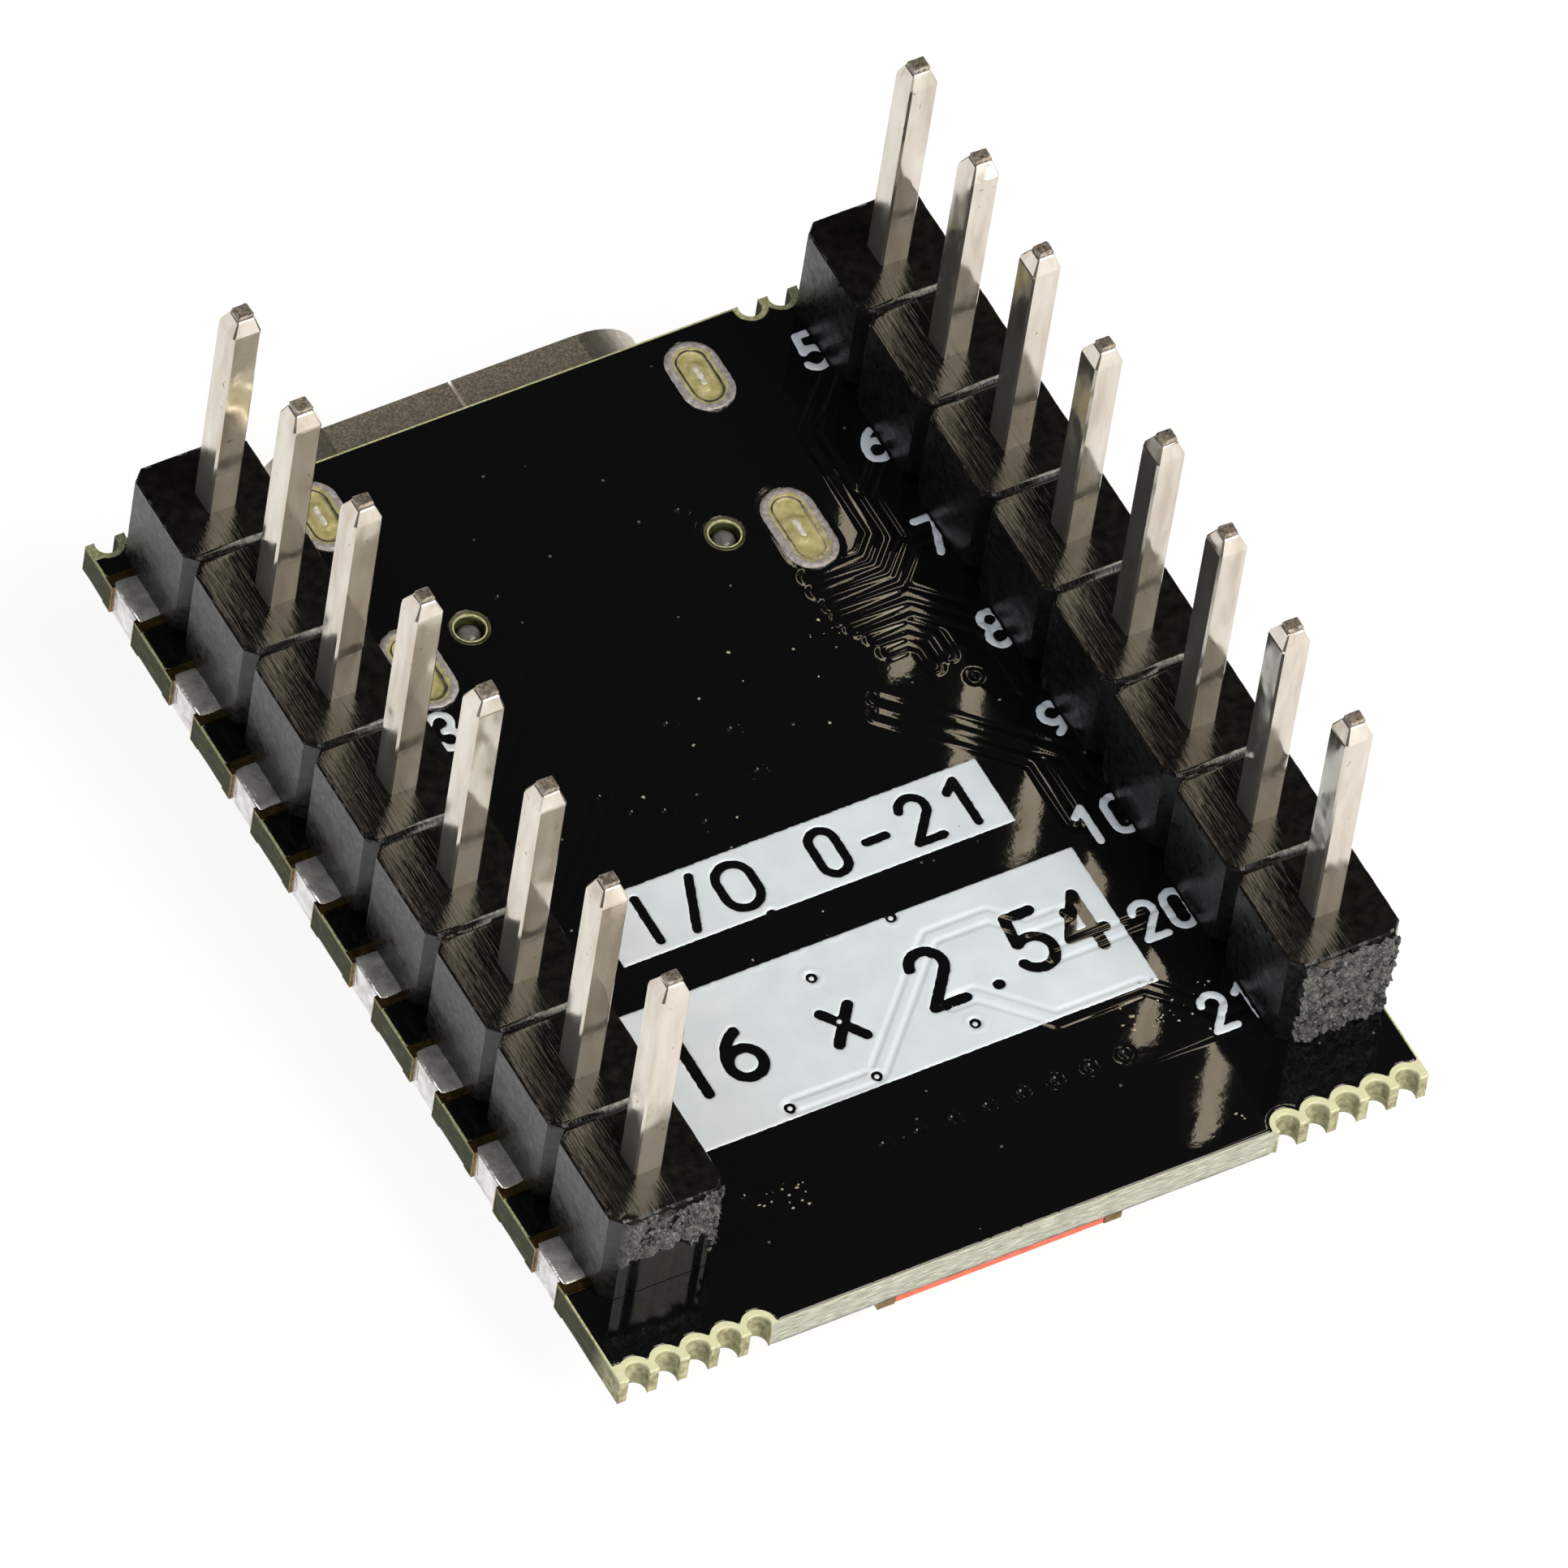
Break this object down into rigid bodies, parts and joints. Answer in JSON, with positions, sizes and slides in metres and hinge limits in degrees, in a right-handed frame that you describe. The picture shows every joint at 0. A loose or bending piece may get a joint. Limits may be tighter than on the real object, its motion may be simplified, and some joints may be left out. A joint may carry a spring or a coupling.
{
  "type": "microcontroller dev board",
  "caption": "Small black microcontroller dev board with two soldered rows of long header pins, a USB-C socket and two push buttons on the far side.",
  "frame": {"origin": "centre of the 2 x 8 pin grid, on the board face that the headers stand on", "axes": "+X across the board between the rows, +Y towards the USB-C socket, +Z the way the long pins point"},
  "size_m": [0.0183, 0.0236, 0.0125],
  "materials": {
    "glass_epoxy": "woven glass and epoxy, pale yellow-green, satin",
    "black_mask": "glossy black solder mask",
    "white_ink": "cool white printed ink",
    "gold_plating": "thin gold over copper",
    "tin_plating": "bright tin",
    "copper": "plated copper",
    "solder": "bright tin solder, wetted",
    "header_plastic": "black moulded plastic, satin with fine flow marks",
    "pin_tin": "tin-plated brass, bright, drawn along the pin",
    "socket_steel": "nickel-plated stainless steel, satin",
    "socket_plastic": "black moulded plastic",
    "contact_gold": "gold-plated",
    "chip_epoxy": "black moulded epoxy, fine grain",
    "ceramic_tan": "tan ceramic",
    "crystal_steel": "nickel-plated lid",
    "antenna_red": "red glazed ceramic",
    "ceramic_white": "white alumina",
    "resistor_black": "black overcoat",
    "ceramic_grey": "grey ferrite ceramic",
    "led_red": "clear tinted epoxy",
    "led_blue": "clear tinted epoxy",
    "button_plastic": "black moulded plastic",
    "button_steel": "bright stamped steel",
    "plunger_plastic": "ivory moulded plastic",
    "dome_steel": "polished spring steel"
  },
  "bodies": {
    "board": {"board_core": "glass_epoxy", "solder_mask_pin_side": "black_mask", "solder_mask_component_side": "black_mask", "legend_pin_side": "white_ink", "legend_component_side": "white_ink", "plated_pin_pads": "gold_plating", "plated_usb_slots": "tin_plating", "component_side_pads": "tin_plating", "via_barrels": "copper", "copper_pin_side": "copper", "edge_solder": "solder", "header_housing_left": "header_plastic", "header_housing_right": "header_plastic", "header_pins_left": "pin_tin", "header_pins_right": "pin_tin", "header_solder_left": "solder", "header_solder_right": "solder", "usb_shell": "socket_steel", "usb_insulator": "socket_plastic", "usb_contacts_outer": "contact_gold", "usb_contacts_inner": "contact_gold", "usb_mid_plate": "socket_steel", "usb_leg_solder": "solder", "processor_package": "chip_epoxy", "processor_leads": "tin_plating", "regulator_body": "chip_epoxy", "regulator_leads": "tin_plating", "diode_body": "chip_epoxy", "diode_leads": "tin_plating", "crystal_base": "ceramic_tan", "crystal_lid": "crystal_steel", "crystal_terminals": "contact_gold", "antenna_block": "antenna_red", "antenna_terminals": "gold_plating", "capacitor_bodies": "ceramic_tan", "capacitor_terminals": "tin_plating", "resistor_bodies": "ceramic_white", "resistor_films": "resistor_black", "resistor_terminals": "tin_plating", "inductor_body": "ceramic_grey", "inductor_terminals": "tin_plating", "led_bases": "ceramic_white", "led_terminals": "contact_gold", "power_led_lens": "led_red", "status_led_lens": "led_blue", "boot_button_base": "button_plastic", "boot_button_cover": "button_steel", "boot_button_dome": "dome_steel", "boot_button_terminals": "tin_plating", "reset_button_base": "button_plastic", "reset_button_cover": "button_steel", "reset_button_dome": "dome_steel", "reset_button_terminals": "tin_plating"},
    "boot_plunger": {"boot_button_plunger": "plunger_plastic"},
    "reset_plunger": {"reset_button_plunger": "plunger_plastic"}
  },
  "joints": [
    {"name": "boot_press", "type": "slide", "parent": "board", "child": "boot_plunger", "axis": [0, 0, 1], "range_m": [0, 0.00025], "stiffness_N_per_m": 4000, "springref_m": -0.0001, "deforming": ["boot_button_dome"]},
    {"name": "reset_press", "type": "slide", "parent": "board", "child": "reset_plunger", "axis": [0, 0, 1], "range_m": [0, 0.00025], "stiffness_N_per_m": 4000, "springref_m": -0.0001, "deforming": ["reset_button_dome"]}
  ]
}
